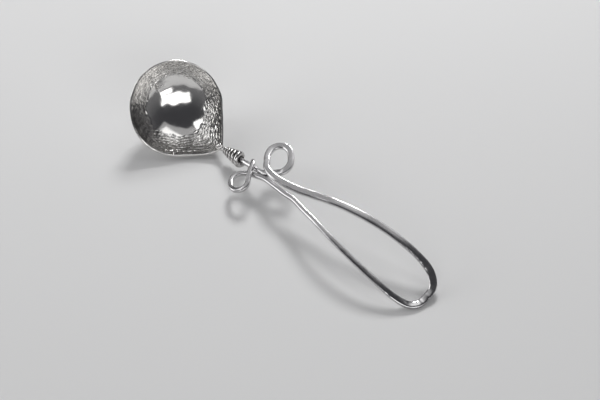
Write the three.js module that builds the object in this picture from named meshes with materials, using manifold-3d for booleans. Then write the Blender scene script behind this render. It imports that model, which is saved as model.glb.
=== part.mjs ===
// A hand-forged gravy ladle of polished white metal, lying as it rests on a table.
// Millimetres, +Z up, +X from the bowl to the end of the handle, the table at Z = 0.
import * as THREE from "three";
import { mergeVertices } from "three/addons/utils/BufferGeometryUtils.js";
import Module from "manifold-3d";

const wasm = await Module();
wasm.setup();

const degrees = (angle) => THREE.MathUtils.degToRad(angle);
const mix = THREE.MathUtils.lerp;

// Bowl: a round raised bowl whose rim runs out to a teardrop tail
const bowlRadius = 31.5;
const bowlDepth = 20;
const bowlWall = 1.3;
const tailReach = 42;
const tailLift = 5.8;
const tailRounding = 0.06;
const tailCurve = 1.5;
const tailStarts = 0.45;
const tailFlare = 1.2;
const bowlOval = 0.5;
const bowlOvalLies = degrees(130);
const nearFlank = 1.3;
const nearFlankSpan = degrees(44);
const nearFlankLean = 0.7;
const bowlSweep = degrees(65.4);

// How the bowl lies on the table: tipped towards the handle, rolled to one side, turned a little
const bowlTip = degrees(34);
const bowlRoll = degrees(24);
const bowlTurn = degrees(-2.3);
const bowlFlat = 0.45;

// Handle: one forged rod, drawn on an arched plane that starts at the tail's tip
const handleReach = 174.5;
const handleRoll = degrees(11);
const handleTurn = degrees(1);
const crownAt = 95;
const crownHeight = 14;
const neckCurve = 1.15;
const endCurve = 2.2;
const endFlat = 0.3;

// Grip loop: two bars that part at the fork and meet in a round end
const forkAt = 70;
const gripWidestAt = 150;
const farFork = 3;
const farHalfWidth = 16;
const nearFork = 4.3;
const nearHalfWidth = 14.7;
const endFullness = 2.9;

// Curls of the rod: middle along the handle, radius, how oval, which way the oval lies,
// the angles between which the rod runs round, and how far the curl stands off the shank's line
const largeCurl = {
  at: 41,
  radius: 9.1,
  oval: 1.3,
  lies: degrees(134),
  from: degrees(-60),
  to: degrees(235),
  off: 4.5,
};
const smallCurl = {
  at: 31.2,
  radius: 6.7,
  oval: 0.7,
  lies: degrees(134),
  from: degrees(125),
  to: degrees(395),
  off: 7.3,
};

// Sections of the rod, width across the handle by thickness
const shankTip = [1.4, 1.4];
const shank = [3.5, 3.5];
const largeBand = [4.2, 2.8];
const farBar = [4.8, 3];
const loopEnd = [5.2, 3.2];
const nearBar = [4, 3.2];
const nearStrand = [3.2, 3];
const smallBand = [3.2, 2.9];
const hookTip = [2.7, 2.5];
const rodCorner = 0.75;

// The shank's tapered end in the tail, and where the shank bends off into the large curl
const shankEntry = 5;
const shankTaperEnd = 24;
const tailSeat = 0.8;
const shankBend = { before: 4, past: 1.5, across: 1.4 };

// The strand that comes back over the shank: marks past the large curl's middle and across
const strandClear = 0.5;
const backStrand = [
  { past: -1, across: 3.2 },
  { past: 6.8, across: 0.6 },
  { past: 16, across: 0.8 },
];
const backStrandLands = 84;
const landingCurve = 1.5;

// The strand beside the shank: share of the way from the large curl to the fork, and how far it
// eases towards the shank's line there, then its last marks past the small curl's middle
const sideStrand = [
  { share: 0.75, ease: -0.35 },
  { share: 0.4, ease: 0.5 },
  { share: 0.1, ease: 1.1 },
];
const smallCurlLead = [
  { past: 6.5, ease: 0.2 },
  { past: 1.5, ease: -1.2 },
];

// The rod's end, hooked over the shank: how far it has climbed where the small curl ends, then marks
// before the place where it crosses, across as a share of its room beside the shank, and climbed
const hookAt = 30;
const hookClimb = 0.75;
const hookLead = { past: 1.3, aside: 1.6, climbed: 0.95 };
const hookCross = 0.2;
const hookMarks = [
  { before: 2.4, across: 0.7, climbed: 0.78 },
  { before: 3.8, across: 1, climbed: 0.2 },
];

// Binding: one wire wound round the neck, thin and tight at the bowl, thick and looser at the handle
const bindingStart = 3.2;
const bindingTurns = 5.5;
const bindingBegins = degrees(90);
const bindingPitch = [1.8, 3.8];
const bindingWire = [1, 3.3];
const bindingSlack = 0.4;

// Solder that holds the shank's end in the tail
const solderLength = 3.6;
const solderRadius = 2.1;

const clearance = 0.3;

// How many marks draw each stretch of the rod
const shankMarks = 8;
const largeMarks = 13;
const barMarks = 7;
const endMarks = 12;
const smallMarks = 11;

// How finely the solids are faceted
const bowlSectors = 64;
const bowlSteps = 12;
const rodSides = 10;
const stepsPerMark = 3;
const roomSides = 12;
const roomSteps = 12;
const wireSides = 6;
const stepsPerTurn = 24;
const lumpSides = 20;
const lumpRings = 12;

// Finish: polished white metal, with the roughness of each piece
const colour = 0xc8c8cc;
const polish = { bowl: 0.16, rod: 0.14, wire: 0.2, solder: 0.3 };

// Solids

// Joins closed rings of points into one closed skin, with a point at each end
function skin(rings, first, last) {
  const sides = rings[0].length;
  const points = [first, ...rings.flat(), last];
  const faces = [];
  const end = points.length - 1;
  const at = (ring, side) => 1 + ring * sides + (side % sides);
  for (let side = 0; side < sides; side += 1) {
    faces.push(0, at(0, side + 1), at(0, side));
    for (let ring = 0; ring < rings.length - 1; ring += 1) {
      faces.push(at(ring, side), at(ring, side + 1), at(ring + 1, side + 1));
      faces.push(at(ring, side), at(ring + 1, side + 1), at(ring + 1, side));
    }
    faces.push(end, at(rings.length - 1, side), at(rings.length - 1, side + 1));
  }
  const geometry = new THREE.BufferGeometry().setFromPoints(points);
  geometry.setIndex(faces);
  geometry.computeVertexNormals();
  return geometry;
}

// Sweeps a rounded section along stations of point, direction, width and thickness
function sweep(stations, sides, corner) {
  const rings = stations.map(({ point, direction, width, thickness }) => {
    const up = new THREE.Vector3(0, 0, 1).addScaledVector(direction, -direction.z).normalize();
    const across = up.clone().cross(direction);
    return Array.from({ length: sides }, (_, side) => {
      const angle = (2 * Math.PI * (side + 0.5)) / sides;
      const reach = (value) => Math.sign(value) * Math.abs(value) ** corner;
      return point.clone()
        .addScaledVector(across, (width / 2) * reach(Math.cos(angle)))
        .addScaledVector(up, (thickness / 2) * reach(Math.sin(angle)));
    });
  });
  return skin(rings, stations[0].point, stations.at(-1).point);
}

function solidOf(geometry) {
  const bare = geometry.clone();
  bare.deleteAttribute("normal");
  bare.deleteAttribute("uv");
  const merged = mergeVertices(bare);
  const vertProperties = Float32Array.from(merged.attributes.position.array);
  const triVerts = Uint32Array.from(merged.index.array);
  return new wasm.Manifold(new wasm.Mesh({ numProp: 3, vertProperties, triVerts }));
}

function geometryOf(solid) {
  const { vertProperties, triVerts } = solid.getMesh();
  const geometry = new THREE.BufferGeometry();
  geometry.setAttribute("position", new THREE.BufferAttribute(vertProperties, 3));
  geometry.setIndex(new THREE.BufferAttribute(triVerts, 1));
  geometry.computeVertexNormals();
  return geometry;
}

// The table, as a block in a group's own frame, to press a flat where a piece rests
function tableIn(group) {
  const wide = 2 * (tailReach + handleReach);
  const block = new THREE.BoxGeometry(2 * wide, wide, wide);
  block.translate(0, 0, -wide / 2);
  group.updateMatrixWorld();
  return solidOf(block.applyMatrix4(group.matrixWorld.clone().invert()));
}

function lowest(geometry, group) {
  group.updateMatrixWorld();
  const place = geometry.attributes.position;
  const point = new THREE.Vector3();
  let least = Infinity;
  for (let index = 0; index < place.count; index += 1) {
    point.fromBufferAttribute(place, index).applyMatrix4(group.matrixWorld);
    least = Math.min(least, point.z);
  }
  return least;
}

function metal(name, roughness) {
  return new THREE.MeshStandardMaterial({ name, color: colour, metalness: 1, roughness });
}

function addMesh(group, name, geometry, roughness) {
  const mesh = new THREE.Mesh(geometry, metal(name, roughness));
  mesh.name = name;
  group.add(mesh);
}

// Bowl

// A point of the bowl's skin: angle round the axis from the tail, share from the pole to the rim,
// and how far the skin lies inside the outer one. The tail runs out of the upper part only.
function bowlPoint(angle, share, inset) {
  const radius = bowlRadius - inset / Math.sin(bowlSweep);
  const spread = Math.acos(bowlRadius / tailReach);
  const off = Math.hypot(Math.atan2(Math.sin(angle), Math.cos(angle)), tailRounding);
  const towardsTail = Math.max(0, spread - off);
  const nearSide = Math.atan2(-Math.sin(angle), Math.cos(angle)) / nearFlankSpan;
  const full = nearFlank * Math.sin(Math.PI * THREE.MathUtils.clamp(nearSide, 0, 1) ** nearFlankLean) ** 2;
  const oval = bowlOval * Math.cos(2 * (angle - bowlOvalLies));
  const flare = Math.max(0, (share - tailStarts) / (1 - tailStarts)) ** tailFlare;
  const rimRadius = (radius + oval) * mix(1, 1 / Math.cos(towardsTail), flare) + flare * full;
  const rimHeight = flare * tailLift * (towardsTail / spread) ** tailCurve;
  const polar = share * bowlSweep;
  const across = (rimRadius * Math.sin(polar)) / Math.sin(bowlSweep);
  const floor = inset - bowlDepth;
  const rise = (1 - Math.cos(polar)) / (1 - Math.cos(bowlSweep));
  return new THREE.Vector3(
    across * Math.cos(angle),
    across * Math.sin(angle),
    mix(floor, rimHeight, rise),
  );
}

function bowlShell(wall) {
  const ring = (share, inset) => Array.from({ length: bowlSectors }, (_, sector) =>
    bowlPoint((2 * Math.PI * sector) / bowlSectors, share, inset));
  const shares = Array.from({ length: bowlSteps }, (_, step) => (step + 1) / bowlSteps);
  const rings = [
    ...shares.map((share) => ring(share, 0)),
    ...shares.toReversed().map((share) => ring(share, wall)),
  ];
  return skin(rings, bowlPoint(0, 0, 0), bowlPoint(0, 0, wall));
}

const ladle = new THREE.Group();
const bowlGroup = new THREE.Group();
const handleGroup = new THREE.Group();
ladle.add(bowlGroup, handleGroup);

bowlGroup.rotation.set(bowlRoll, bowlTip, bowlTurn);
const bowlBlank = bowlShell(bowlWall);
const tailTip = bowlPoint(0, 1, 0).applyEuler(bowlGroup.rotation);
bowlGroup.position.set(-tailTip.x, -tailTip.y, -bowlFlat - lowest(bowlBlank, bowlGroup));
handleGroup.position.set(0, 0, bowlGroup.position.z + tailTip.z + tailSeat);
handleGroup.rotation.set(handleRoll, 0, handleTurn, "ZXY");

// Handle

function archHeight(along, fall) {
  if (along < crownAt) {
    return crownHeight * (1 - ((crownAt - along) / crownAt) ** neckCurve);
  }
  return crownHeight - fall * ((along - crownAt) / (handleReach - crownAt)) ** endCurve;
}

function shankSection(along) {
  const share = THREE.MathUtils.clamp((along + shankEntry) / (shankTaperEnd + shankEntry), 0, 1);
  return shank.map((size, side) => mix(shankTip[side], size, share));
}

const between = (from, to, share) => from.map((size, side) => mix(size, to[side], share));

function gripHalf(along, fork, halfWidth) {
  const share = (along - forkAt) / (gripWidestAt - forkAt);
  return fork + (halfWidth - fork) * Math.sin((share * Math.PI) / 2);
}

// Marks round a curl on one side of the shank's line, from its first angle to its last
function curlMarks(curl, side, count) {
  const middle = side * (curl.radius + curl.off);
  return Array.from({ length: count }, (_, mark) => {
    const share = mark / (count - 1);
    const angle = mix(curl.from, curl.to, share);
    const radius = curl.radius + curl.oval * Math.cos(2 * (angle - curl.lies));
    return { along: curl.at + radius * Math.cos(angle), across: middle + radius * Math.sin(angle), share };
  });
}

// The rod's line as marks: along and across the handle, lift above the arch, and section
function rodMarks() {
  const marks = [];
  const add = (along, across, lift, section) => marks.push({ along, across, lift, section });

  const shankEnd = largeCurl.at - shankBend.before;
  for (let mark = 0; mark < shankMarks; mark += 1) {
    const along = mix(-shankEntry, shankEnd, mark / (shankMarks - 1));
    add(along, 0, 0, shankSection(along));
  }
  add(largeCurl.at + shankBend.past, shankBend.across, 0, between(shank, largeBand, 0.5));

  // The large curl climbs, so that it comes back over the shank, and then sinks to the arch
  const overShank = (shank[1] + largeBand[1]) / 2 + strandClear;
  const crossed = largeCurl.at + backStrand[1].past;
  const sinking = (along) => {
    const share = THREE.MathUtils.clamp((backStrandLands - along) / (backStrandLands - crossed), 0, 1);
    return overShank * share ** landingCurve;
  };
  for (const { along, across, share } of curlMarks(largeCurl, 1, largeMarks)) {
    add(along, across, overShank * share, largeBand);
  }
  backStrand.forEach(({ past, across }, mark) => {
    const along = largeCurl.at + past;
    add(along, across, sinking(along), between(largeBand, farBar, mark / backStrand.length));
  });

  // The grip loop: far bar, round end, near bar
  const barShares = Array.from({ length: barMarks }, (_, mark) => mark / barMarks);
  for (const share of barShares) {
    const along = mix(forkAt, gripWidestAt, share);
    add(along, gripHalf(along, farFork, farHalfWidth), sinking(along), farBar);
  }
  for (let mark = 0; mark <= endMarks; mark += 1) {
    const share = mark / endMarks;
    const angle = Math.PI * (0.5 - share);
    const reach = (value) => Math.sign(value) * Math.abs(value) ** (2 / endFullness);
    const along = mix(gripWidestAt, handleReach, reach(Math.cos(angle)));
    const halfWidth = mix(farHalfWidth, nearHalfWidth, share);
    const bar = share < 0.5 ? farBar : nearBar;
    add(along, halfWidth * reach(Math.sin(angle)), 0, between(bar, loopEnd, Math.sin(share * Math.PI)));
  }
  for (const share of barShares.toReversed()) {
    const along = mix(forkAt, gripWidestAt, share);
    add(along, -gripHalf(along, nearFork, nearHalfWidth), 0, between(nearStrand, nearBar, share));
  }

  // Beside the shank to the small curl, which climbs to the hook over the shank
  const besideShank = -(shank[0] + nearStrand[0]) / 2 - strandClear;
  for (const { share, ease } of sideStrand) {
    add(mix(largeCurl.at, forkAt, share), besideShank + ease, 0, nearStrand);
  }
  smallCurlLead.forEach(({ past, ease }) => {
    add(smallCurl.at + past, besideShank + ease, 0, smallBand);
  });
  const overNeck = (shank[1] + smallBand[1]) / 2 + strandClear;
  for (const { along, across, share } of curlMarks(smallCurl, -1, smallMarks)) {
    add(along, across, hookClimb * overNeck * share, smallBand);
  }
  const hookSide = (shank[0] + hookTip[0]) / 2 + strandClear;
  add(smallCurl.at + hookLead.past, besideShank - hookLead.aside, hookLead.climbed * overNeck, smallBand);
  add(hookAt, hookCross, overNeck, between(smallBand, hookTip, 0.5));
  for (const { before, across, climbed } of hookMarks) {
    add(hookAt - before, across * hookSide, climbed * overNeck, hookTip);
  }
  return marks;
}

// Stations along the rod, a few between each two marks
function rodStations(fall) {
  const marks = rodMarks();
  const points = marks.map(({ along, across, lift }) =>
    new THREE.Vector3(along, across, archHeight(along, fall) + lift));
  const line = new THREE.CatmullRomCurve3(points, false, "centripetal");
  const count = (marks.length - 1) * stepsPerMark;
  return Array.from({ length: count + 1 }, (_, step) => {
    const place = step / stepsPerMark;
    const mark = Math.min(Math.floor(place), marks.length - 2);
    const [width, thickness] = between(marks[mark].section, marks[mark + 1].section, place - mark);
    const share = step / count;
    return { point: line.getPoint(share), direction: line.getTangent(share), width, thickness };
  });
}

// The arch falls until the loop's end lies on the table
function fallToTable() {
  let fall = crownHeight;
  const passes = 6;
  for (let pass = 0; pass < passes; pass += 1) {
    fall += lowest(sweep(rodStations(fall), rodSides, rodCorner), handleGroup) + endFlat;
  }
  return fall;
}

const handleFall = fallToTable();
const handleBlank = sweep(rodStations(handleFall), rodSides, rodCorner);
const handleSolid = solidOf(handleBlank).subtract(tableIn(handleGroup));

// How much the arch rises over one millimetre
const archSlope = (along) => archHeight(along + 0.5, handleFall) - archHeight(along - 0.5, handleFall);

// The shank alone, grown by a clearance, to cut its seat in the pieces that it passes through
function shankRoom(room) {
  const round = 1;
  const stations = Array.from({ length: roomSteps + 1 }, (_, step) => {
    const along = mix(-shankEntry - room, bindingStart + shankEntry, step / roomSteps);
    const [width, thickness] = shankSection(along).map((size) => size + 2 * room);
    const direction = new THREE.Vector3(1, 0, archSlope(along)).normalize();
    const point = new THREE.Vector3(along, 0, archHeight(along, handleFall));
    return { point, direction, width, thickness };
  });
  return solidOf(sweep(stations, roomSides, round));
}

// Binding

function bindingStations() {
  const count = bindingTurns * stepsPerTurn;
  const stations = Array.from({ length: count + 1 }, (_, step) => {
    const share = step / count;
    const turn = bindingBegins + 2 * Math.PI * bindingTurns * share;
    const [thin, thick] = bindingPitch;
    const along = bindingStart + bindingTurns * (thin * share + ((thick - thin) * share ** 2) / 2);
    const wire = mix(...bindingWire, share);
    const radius = shankSection(along)[0] / 2 + clearance + bindingSlack * share + wire / 2;
    const slope = Math.atan(archSlope(along));
    const point = new THREE.Vector3(
      along - radius * Math.sin(turn) * Math.sin(slope),
      radius * Math.cos(turn),
      archHeight(along, handleFall) + radius * Math.sin(turn) * Math.cos(slope),
    );
    return { point, wire };
  });
  // Straight ends, one wire thickness long
  const straight = (from, next) => {
    const ahead = from.point.clone().sub(next.point).setLength(from.wire);
    return { point: from.point.clone().add(ahead), wire: from.wire };
  };
  return [straight(stations[0], stations[1]), ...stations, straight(stations.at(-1), stations.at(-2))];
}

// A round wire through the stations, its section carried along without twisting
function wireSkin(stations) {
  let up = new THREE.Vector3(1, 0, 0);
  const rings = stations.map(({ point, wire }, index) => {
    const before = stations[Math.max(0, index - 1)].point;
    const after = stations[Math.min(stations.length - 1, index + 1)].point;
    const direction = after.clone().sub(before).normalize();
    up = up.clone().addScaledVector(direction, -up.dot(direction)).normalize();
    const across = up.clone().cross(direction);
    return Array.from({ length: wireSides }, (_, side) => {
      const angle = (2 * Math.PI * side) / wireSides;
      return point.clone()
        .addScaledVector(across, (wire / 2) * Math.cos(angle))
        .addScaledVector(up, (wire / 2) * Math.sin(angle));
    });
  });
  return skin(rings, stations[0].point, stations.at(-1).point);
}

// The least gap between stretches of the wire that are over half a turn apart
function leastGap(stations, apart) {
  let least = Infinity;
  stations.forEach((one, index) => {
    stations.slice(index + apart).forEach((other) => {
      const gap = one.point.distanceTo(other.point) - (one.wire + other.wire) / 2;
      least = Math.min(least, gap);
    });
  });
  return least;
}

const windings = bindingStations();
const ownGap = leastGap(windings, stepsPerTurn / 2 + 2);
console.log(`Least gap of the binding to itself: ${ownGap.toFixed(2)} mm`);

// Solder: a lump round the shank's end, kept off the tail's inner face and the shank
function solderLump() {
  const lump = new THREE.SphereGeometry(1, lumpSides, lumpRings);
  lump.scale(solderLength, solderRadius, solderRadius);
  lump.translate(-solderLength / 2, 0, archHeight(-solderLength / 2, handleFall));
  const toHandle = handleGroup.matrixWorld.clone().invert().multiply(bowlGroup.matrixWorld);
  const shell = solidOf(bowlShell(bowlWall + clearance).applyMatrix4(toHandle));
  return solidOf(lump).subtract(shankRoom(clearance)).subtract(shell);
}

ladle.updateMatrixWorld(true);
const toBowl = bowlGroup.matrixWorld.clone().invert().multiply(handleGroup.matrixWorld);
const shankSeat = solidOf(geometryOf(shankRoom(clearance)).applyMatrix4(toBowl));
const bowlSolid = solidOf(bowlBlank).subtract(tableIn(bowlGroup)).subtract(shankSeat);

addMesh(bowlGroup, "bowl", geometryOf(bowlSolid), polish.bowl);
addMesh(handleGroup, "handle_rod", geometryOf(handleSolid), polish.rod);
addMesh(handleGroup, "binding_coil", wireSkin(windings), polish.wire);
addMesh(handleGroup, "tail_solder", geometryOf(solderLump()), polish.solder);

// The origin is the middle of the ladle's footprint, on the table
const box = new THREE.Box3().setFromObject(ladle, true);
const middle = box.getCenter(new THREE.Vector3());
ladle.position.set(-middle.x, -middle.y, 0);

export default ladle;
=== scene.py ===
"""A hand-forged gravy ladle of polished white metal, lying on a pale table."""

import math

import bmesh
import bpy
import numpy as np
from bpy.props import FloatProperty, FloatVectorProperty, PointerProperty
from bpy.types import Operator, Panel, PropertyGroup
from mathutils import Matrix, Vector


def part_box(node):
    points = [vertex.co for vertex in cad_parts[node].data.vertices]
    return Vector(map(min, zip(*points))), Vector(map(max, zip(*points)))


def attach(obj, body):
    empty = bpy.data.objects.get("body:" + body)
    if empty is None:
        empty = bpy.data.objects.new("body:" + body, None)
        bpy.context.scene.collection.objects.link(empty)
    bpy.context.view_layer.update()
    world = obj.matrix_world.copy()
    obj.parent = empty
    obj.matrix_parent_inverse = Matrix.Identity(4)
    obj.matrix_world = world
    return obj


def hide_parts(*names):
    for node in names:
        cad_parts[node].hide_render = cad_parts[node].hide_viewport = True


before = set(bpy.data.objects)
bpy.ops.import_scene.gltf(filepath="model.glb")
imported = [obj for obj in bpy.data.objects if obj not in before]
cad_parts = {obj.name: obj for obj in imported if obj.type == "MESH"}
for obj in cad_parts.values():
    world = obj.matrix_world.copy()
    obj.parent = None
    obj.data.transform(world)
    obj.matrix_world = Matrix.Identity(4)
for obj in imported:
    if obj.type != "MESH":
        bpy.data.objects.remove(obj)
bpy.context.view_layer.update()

bl_info = {
    "name": "Gravy Ladle",
    "version": (1, 0, 0),
    "blender": (4, 2, 0),
    "location": "View3D > Sidebar > Ladle",
    "description": "Builds a hand-forged gravy ladle with a hammered bowl",
    "category": "Add Mesh",
}

MM = 0.001
TURN = 2 * math.pi

# Bowl: how its round skin sweeps up, runs out to the tail and lies on the table
BOWL_SWEEP = math.radians(65.4)
TAIL_ROUNDING = 0.06
TAIL_CURVE = 1.5
TAIL_STARTS = 0.45
TAIL_FLARE = 1.2
BOWL_OVAL = 0.5 * MM
BOWL_OVAL_LIES = math.radians(130)
NEAR_FLANK = 1.3 * MM
NEAR_FLANK_SPAN = math.radians(44)
NEAR_FLANK_LEAN = 0.7
BOWL_ROLL = math.radians(24)
BOWL_TIP = math.radians(34)
BOWL_TURN = math.radians(-2.3)
BOWL_SECTORS = 384
BOWL_RINGS = 104

# Smooth disc in the bowl: its share of the mesh's rings, and how far and which way it leans
DISC_RINGS = 0.25
DISC_LEAN = 0.085
DISC_LEANS_TO = math.radians(105)

# Hammer marks in the bowl: number of rows, and length of a mark as a share of the usual one
BOWL_SEED = 7
COURSES = (8, 0.9)
FINE_MARKS = (15, 0.6)
BROAD_MARKS = (9, 1.6)
BROAD_STARTS = 0.1

# How the rows sway, and how the marks vary, slant, dish and darken towards their creases, and how dark a
# painted reflection in a mark may be
ROW_SWAY = 0.012
ROW_SWAY_SHARE = 0.25
ROW_WAVES = (3, 9)
FEWEST_MARKS = 6
MARK_LENGTHS = (0.45, 1.55)
MARK_STRIKES = (0.4, 1.4)
MARK_SLANT = 0.05
MARK_CRISPNESS = 4
CREASE_ALONG = 9
CREASE_ACROSS = 4
DARKEST_PAINTED_REFLECTION = 0.65

# How much each kind of mark counts, in depth and in darkening (crease patina and painted reflections)
FINE_DEPTH = 0.45
BROAD_DEPTH = 0.8
COURSE_DARKENING = 0.8
BROAD_DARKENING = 0.1

# Unevenness of the sheet, and the rim that is cut and filed by hand
SHEET_UNEVEN = 0.035 * MM
SHEET_WAVES = (24 * MM, 21 * MM)
SHEET_WAVE_COUNT = 4
CALM_STARTS = 0.985
RIM_CALM = 0.7
RIM_STARTS = 0.9
RIM_LIFT = 0.16 * MM
RIM_LIFT_WAVES = (4, 14)
RIM_SPREAD = 0.1 * MM
RIM_SPREAD_WAVES = (5, 12)
RIM_SHARE = 0.9999
RIM_ROUNDING = 0.4 * MM
RIM_ROUNDING_CUTS = 3

# Handle: the arched plane that the rod is drawn on, with lengths in millimetres
HANDLE_ROLL = math.radians(11)
HANDLE_TURN = math.radians(1)
TAIL_SEAT = 0.8
CROWN_AT = 95
NECK_CURVE = 1.15
END_CURVE = 2.2
FORK_AT = 70
GRIP_WIDEST_AT = 150
FAR_FORK = 3
NEAR_FORK = 4.3
END_FULLNESS = 2.9

# Curls: middle along the handle, radius, how oval, which way the oval lies, the angles between which
# the rod runs round, and how far the curl stands off the shank's line
LARGE_CURL = {"at": 41, "radius": 9.1, "oval": 1.3, "lies": 134, "from": -60, "to": 235, "off": 4.5}
SMALL_CURL = {"at": 31.2, "radius": 6.7, "oval": 0.7, "lies": 134, "from": 125, "to": 395, "off": 7.3}

# Sections of the rod: width, thickness, and how square it is, from 2 for round
SHANK_TIP = np.array([1.4, 1.4, 2.0])
SHANK = np.array([3.5, 3.5, 2.2])
LARGE_BAND = np.array([4.3, 2.8, 7.0])
FAR_BAR = np.array([4.8, 3.0, 8.0])
LOOP_END = np.array([5.2, 3.2, 3.0])
NEAR_BAR = np.array([4.0, 3.2, 5.5])
NEAR_STRAND = np.array([3.2, 3.0, 6.0])
SMALL_BAND = np.array([3.3, 2.9, 4.5])
HOOK_TIP = np.array([2.7, 2.5, 2.6])

# Shank: how far it enters the tail, where its taper ends, and where it bends off into the large curl
SHANK_ENTRY = 5
SHANK_TAPER_END = 24
SHANK_BEND = {"before": 4, "past": 1.5, "across": 1.4}

# The strand that comes back over the shank: marks past the large curl's middle, and across
STRAND_CLEAR = 0.5
BACK_STRAND = [(-1, 3.2), (6.8, 0.6), (16, 0.8)]
BACK_STRAND_LANDS = 84
LANDING_CURVE = 1.5

# The strand beside the shank: share of the way from the large curl to the fork, and how far it eases
# towards the shank's line there, then its last marks past the small curl's middle
SIDE_STRAND = [(0.75, -0.35), (0.4, 0.5), (0.1, 1.1)]
SMALL_CURL_LEAD = [(6.5, 0.2), (1.5, -1.2)]

# The hooked end: how far it has climbed where the small curl ends, then marks before the place where
# it crosses the shank, across as a share of its room beside the shank, and climbed
HOOK_AT = 30
HOOK_CLIMB = 0.75
HOOK_LEAD = {"past": 1.3, "aside": 1.6, "climbed": 0.95}
HOOK_CROSS = 0.2
HOOK_MARKS = [(2.4, 0.7, 0.78), (3.8, 1, 0.2)]

# Number of marks in each stretch of the rod's line, steps between two marks, and the bar's mesh
SHANK_MARKS = 8
LARGE_CURL_MARKS = 13
BAR_MARKS = 7
LOOP_END_MARKS = 13
SMALL_CURL_MARKS = 11
ROD_STEPS = 24
ROD_SIDES = 40
ROD_CUTS = (29, 31)

# Hammering of the rod: usual length of a mark, then its depth and its lean in usual depths
ROD_SEED = 21
FLAT_BLOWS = (13 * MM, 0.7, 1.1)
END_BLOWS = (7 * MM, 2.2, 3.5)
EDGE_BLOWS = (16 * MM, 1.1, 0.5)
BLOW_LENGTHS = (0.5, 1.5)
BLOW_STRIKES = (0.2, 1.5)
BLOW_OVERRUN = 1.01
FLAT_REACH = 1.6
EDGE_REACH = 1.4

# Where the rod counts as flat, how hard it is struck where it is round, and where blows grow harder
FLAT_SQUARE = (2.2, 4)
ROUND_FORCE = 0.25
HARDER_BLOWS = 0.9
HARDER_FROM = (110 * MM, 165 * MM)
END_FROM = (140 * MM, 168 * MM)

# Softer front edges of the bars, and unevenness of the rod's width and polish
FRONT_SQUARE = 3.6
FRONT_SOFTENS = 2.5
ROD_UNEVEN = 0.02
ROD_WAVES = (60 * MM, 5)
PATCH_WAVES = (40 * MM, 6)

# Least share of its thickness that a bar or a wire keeps at its rounded ends
LEAST_END = 0.02

# Binding: where it starts on the shank and how far apart its turns lie, in millimetres
BINDING_START = 3.2
BINDING_BEGINS = math.radians(90)
BINDING_PITCH = (1.8, 3.8)
BINDING_SLACK = 0.4
CLEARANCE = 0.3

# Wire of the binding: its mesh, its unevenness, and where painted shade darkens it between its turns
WIRE_SEED = 5
WIRE_STEPS = 400
WIRE_SIDES = 28
WIRE_CUTS = (19, 20)
WIRE_UNEVEN = 0.025
WIRE_WAVES = (22 * MM, 5)
END_TURN = 1.15
FACING_TURN = (0.35, 0.9)
FREE_FACE_SHADE = 0.25

# Solder: its mesh and its unevenness
SOLDER_FINENESS = 6
SOLDER_LUMPS = 1.6 * MM
SOLDER_LUMP_DEPTH = 2
SOLDER_SWELL = 1.0 * MM
SOLDER_MIDDLE = 0.55

# Finishes: strength of each piece's darkening (painted shade on the wire and the solder, crease patina and
# painted reflections in the bowl, duller patches on the rod), scale and amount of the clouds, scale of the
# scratches, least and most roughness, and relief of the scratches
HAMMERED_FINISH = {
    "shade_and_dullness": 0.8, "clouds": (45, 0.06), "scratches": 1400, "roughness": (0.08, 0.3), "relief": 0.004 * MM}
FORGED_FINISH = {
    "shade_and_dullness": 0.25, "clouds": (70, 0.25), "scratches": 1100, "roughness": (0.12, 0.36), "relief": 0.006 * MM}
WIRE_FINISH = {
    "shade_and_dullness": 0.85, "clouds": (110, 0.2), "scratches": 1300, "roughness": (0.12, 0.4), "relief": 0.006 * MM}
SOLDER_FINISH = {
    "shade_and_dullness": 0.3, "clouds": (300, 0.35), "scratches": 2200, "roughness": (0.1, 0.4), "relief": 0.01 * MM}
SHARP_EDGE = math.radians(50)
SOLDER_SHARP_EDGE = math.radians(60)

# Stage: the table, the height at which the room is darkest, where all look to, and the camera's film
TABLE_SIZE = 8
TABLE_ROUGHNESS = 0.9
TABLE_SHINE = 0.1
DARKEST_AT = 0.75
AIM = Vector((6.57 * MM, 13.66 * MM, 0))
FILM_WIDTH = 36

# Soft lights: degrees round the ladle and above the table, distance, width and height in metres, watts
LIGHTS = (
    ("key_light", 217, 37, 1.4, 0.4, 0.28, 13),
    ("back_panel", 214, 62, 1.5, 2.0, 1.3, 2.9),
    ("high_panel", 198, 61, 1.25, 0.95, 0.44, 1.15),
    ("front_window", 55, 29, 1.6, 2.2, 0.7, 9),
    ("low_window", 74, 9, 1.6, 0.8, 0.26, 1.7),
    ("left_window", 298, 36, 1.6, 0.8, 1.3, 5.2),
    ("side_panel", 318, 14, 1.6, 0.85, 0.75, 4.4),
)


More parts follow.
